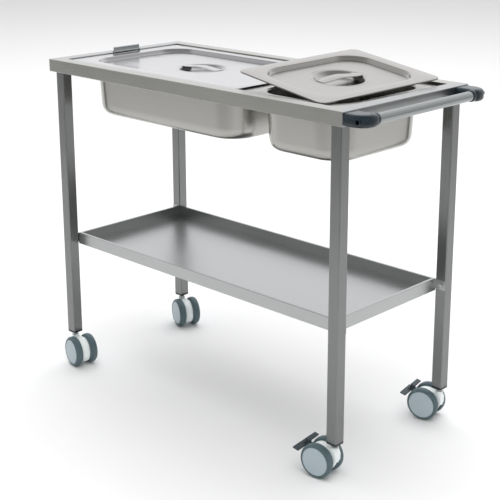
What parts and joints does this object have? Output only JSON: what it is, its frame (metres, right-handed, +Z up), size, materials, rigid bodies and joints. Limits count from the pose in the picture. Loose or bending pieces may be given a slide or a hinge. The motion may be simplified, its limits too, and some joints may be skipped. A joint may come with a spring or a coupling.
{
  "type": "bedpan and bowl trolley",
  "caption": "Stainless trolley with pans and pressed lids sunk in its top frame, a lower shelf tray, a push handle and twin-wheel swivel castors with foot brakes.",
  "frame": {"origin": "on the floor, half way along the trolley's length including the push handle, on the deck's centre line", "axes": "+X towards the push handle, +Y to the rear long side, +Z up"},
  "size_m": [0.912, 0.4159, 0.7727],
  "materials": {
    "deck_steel": "satin brushed stainless steel, grain along each rail",
    "leg_steel": "brushed stainless square tube, grain along the tube",
    "shelf_steel": "satin stainless sheet",
    "pan_steel": "satin pressed stainless steel",
    "lid_steel": "bright satin pressed stainless steel",
    "small_lid_steel": "bright satin pressed stainless steel",
    "grip_steel": "bright stainless steel",
    "tube_steel": "fine-ground stainless tube",
    "screw_steel": "bright steel",
    "axle_steel": "turned steel",
    "bracket_plastic": "moulded dark blue-black plastic, slight gloss",
    "plug_plastic": "black moulded plastic",
    "housing_plastic": "light grey moulded plastic",
    "wheel_plastic": "light blue-grey moulded plastic",
    "tyre_rubber": "dark grey-green soft tread",
    "pedal_plastic": "dark grey moulded plastic"
  },
  "bodies": {
    "root": {"deck_rail_front": "deck_steel", "deck_rail_rear": "deck_steel", "deck_rail_left": "deck_steel", "deck_rail_right": "deck_steel", "pan_divider_bar": "deck_steel", "shelf_tray": "shelf_steel", "shelf_screws": "screw_steel", "handle_bracket_front": "bracket_plastic", "handle_bracket_rear": "bracket_plastic", "handle_tube": "tube_steel", "handle_screws": "screw_steel", "leg_front_left": "leg_steel", "leg_plug_front_left": "plug_plastic", "castor_front_left_stem": "axle_steel", "leg_front_right": "leg_steel", "leg_plug_front_right": "plug_plastic", "castor_front_right_stem": "axle_steel", "leg_rear_left": "leg_steel", "leg_plug_rear_left": "plug_plastic", "castor_rear_left_stem": "axle_steel", "leg_rear_right": "leg_steel", "leg_plug_rear_right": "plug_plastic", "castor_rear_right_stem": "axle_steel"},
    "pan_large": {"pan_large": "pan_steel", "pan_large_grip_lugs": "grip_steel"},
    "pan_large_grip": {"pan_large_grip": "grip_steel"},
    "lid_large": {"lid_large": "lid_steel", "lid_large_handle": "lid_steel"},
    "lid_small": {"lid_small": "small_lid_steel", "lid_small_handle": "small_lid_steel"},
    "pan_small": {"pan_small": "pan_steel"},
    "castor_front_left": {"castor_front_left_housing": "housing_plastic", "castor_front_left_axle": "axle_steel"},
    "castor_front_left_wheel_left": {"castor_front_left_wheel_left": "wheel_plastic", "castor_front_left_tyre_left": "tyre_rubber"},
    "castor_front_left_wheel_right": {"castor_front_left_wheel_right": "wheel_plastic", "castor_front_left_tyre_right": "tyre_rubber"},
    "castor_front_right": {"castor_front_right_housing": "housing_plastic", "castor_front_right_axle": "axle_steel", "castor_front_right_brake_pin": "axle_steel"},
    "castor_front_right_wheel_left": {"castor_front_right_wheel_left": "wheel_plastic", "castor_front_right_tyre_left": "tyre_rubber"},
    "castor_front_right_wheel_right": {"castor_front_right_wheel_right": "wheel_plastic", "castor_front_right_tyre_right": "tyre_rubber"},
    "castor_front_right_brake": {"castor_front_right_brake_pedal": "pedal_plastic"},
    "castor_rear_left": {"castor_rear_left_housing": "housing_plastic", "castor_rear_left_axle": "axle_steel"},
    "castor_rear_left_wheel_left": {"castor_rear_left_wheel_left": "wheel_plastic", "castor_rear_left_tyre_left": "tyre_rubber"},
    "castor_rear_left_wheel_right": {"castor_rear_left_wheel_right": "wheel_plastic", "castor_rear_left_tyre_right": "tyre_rubber"},
    "castor_rear_right": {"castor_rear_right_housing": "housing_plastic", "castor_rear_right_axle": "axle_steel", "castor_rear_right_brake_pin": "axle_steel"},
    "castor_rear_right_wheel_left": {"castor_rear_right_wheel_left": "wheel_plastic", "castor_rear_right_tyre_left": "tyre_rubber"},
    "castor_rear_right_wheel_right": {"castor_rear_right_wheel_right": "wheel_plastic", "castor_rear_right_tyre_right": "tyre_rubber"},
    "castor_rear_right_brake": {"castor_rear_right_brake_pedal": "pedal_plastic"}
  },
  "joints": [
    {"name": "pan_large_lift", "type": "slide", "parent": "root", "child": "pan_large", "axis": [0, 0, 1], "range_m": [0, 0.12]},
    {"name": "pan_large_grip_fold", "type": "hinge", "parent": "pan_large", "child": "pan_large_grip", "pos_m": [-0.419, 0, 0.7343], "axis": [0, -1, 0], "range_deg": [0, 85]},
    {"name": "lid_large_lift", "type": "slide", "parent": "pan_large", "child": "lid_large", "axis": [0, 0, 1], "range_m": [0, 0.1]},
    {"name": "lid_small_lift", "type": "slide", "parent": "lid_large", "child": "lid_small", "axis": [0, 0, 1], "range_m": [0, 0.12]},
    {"name": "pan_small_lift", "type": "slide", "parent": "root", "child": "pan_small", "axis": [0, 0, 1], "range_m": [0, 0.06]},
    {"name": "castor_front_left_swivel", "type": "hinge", "parent": "root", "child": "castor_front_left", "pos_m": [-0.4335, -0.173, 0.066], "axis": [0, 0, 1], "continuous": true},
    {"name": "castor_front_left_spin_left", "type": "hinge", "parent": "castor_front_left", "child": "castor_front_left_wheel_left", "pos_m": [-0.40513, -0.17903, 0.035], "axis": [0.2079, 0.9781, 0], "continuous": true},
    {"name": "castor_front_left_spin_right", "type": "hinge", "parent": "castor_front_left", "child": "castor_front_left_wheel_right", "pos_m": [-0.40513, -0.17903, 0.035], "axis": [0.2079, 0.9781, 0], "continuous": true},
    {"name": "castor_front_right_swivel", "type": "hinge", "parent": "root", "child": "castor_front_right", "pos_m": [0.3825, -0.173, 0.066], "axis": [0, 0, 1], "continuous": true},
    {"name": "castor_front_right_spin_left", "type": "hinge", "parent": "castor_front_right", "child": "castor_front_right_wheel_left", "pos_m": [0.35372, -0.17653, 0.035], "axis": [0.1219, -0.9925, 0], "continuous": true},
    {"name": "castor_front_right_spin_right", "type": "hinge", "parent": "castor_front_right", "child": "castor_front_right_wheel_right", "pos_m": [0.35372, -0.17653, 0.035], "axis": [0.1219, -0.9925, 0], "continuous": true},
    {"name": "castor_front_right_brake_press", "type": "hinge", "parent": "castor_front_right", "child": "castor_front_right_brake", "pos_m": [0.34379, -0.17775, 0.054], "axis": [0.1219, -0.9925, 0], "range_deg": [0, 6], "stiffness_Nm_per_rad": 0.6, "springref_deg": -5.73},
    {"name": "castor_rear_left_swivel", "type": "hinge", "parent": "root", "child": "castor_rear_left", "pos_m": [-0.4335, 0.173, 0.066], "axis": [0, 0, 1], "continuous": true},
    {"name": "castor_rear_left_spin_left", "type": "hinge", "parent": "castor_rear_left", "child": "castor_rear_left_wheel_left", "pos_m": [-0.40661, 0.16214, 0.035], "axis": [0.3746, 0.9272, 0], "continuous": true},
    {"name": "castor_rear_left_spin_right", "type": "hinge", "parent": "castor_rear_left", "child": "castor_rear_left_wheel_right", "pos_m": [-0.40661, 0.16214, 0.035], "axis": [0.3746, 0.9272, 0], "continuous": true},
    {"name": "castor_rear_right_swivel", "type": "hinge", "parent": "root", "child": "castor_rear_right", "pos_m": [0.3825, 0.173, 0.066], "axis": [0, 0, 1], "continuous": true},
    {"name": "castor_rear_right_spin_left", "type": "hinge", "parent": "castor_rear_right", "child": "castor_rear_right_wheel_left", "pos_m": [0.35403, 0.16747, 0.035], "axis": [0.1908, -0.9816, 0], "continuous": true},
    {"name": "castor_rear_right_spin_right", "type": "hinge", "parent": "castor_rear_right", "child": "castor_rear_right_wheel_right", "pos_m": [0.35403, 0.16747, 0.035], "axis": [0.1908, -0.9816, 0], "continuous": true},
    {"name": "castor_rear_right_brake_press", "type": "hinge", "parent": "castor_rear_right", "child": "castor_rear_right_brake", "pos_m": [0.34422, 0.16556, 0.054], "axis": [0.1908, -0.9816, 0], "range_deg": [0, 6], "stiffness_Nm_per_rad": 0.6, "springref_deg": -5.73}
  ],
  "couplings": [
    {"joint": "pan_small_lift", "follows": "lid_small_lift", "ratio": 0.5}
  ]
}
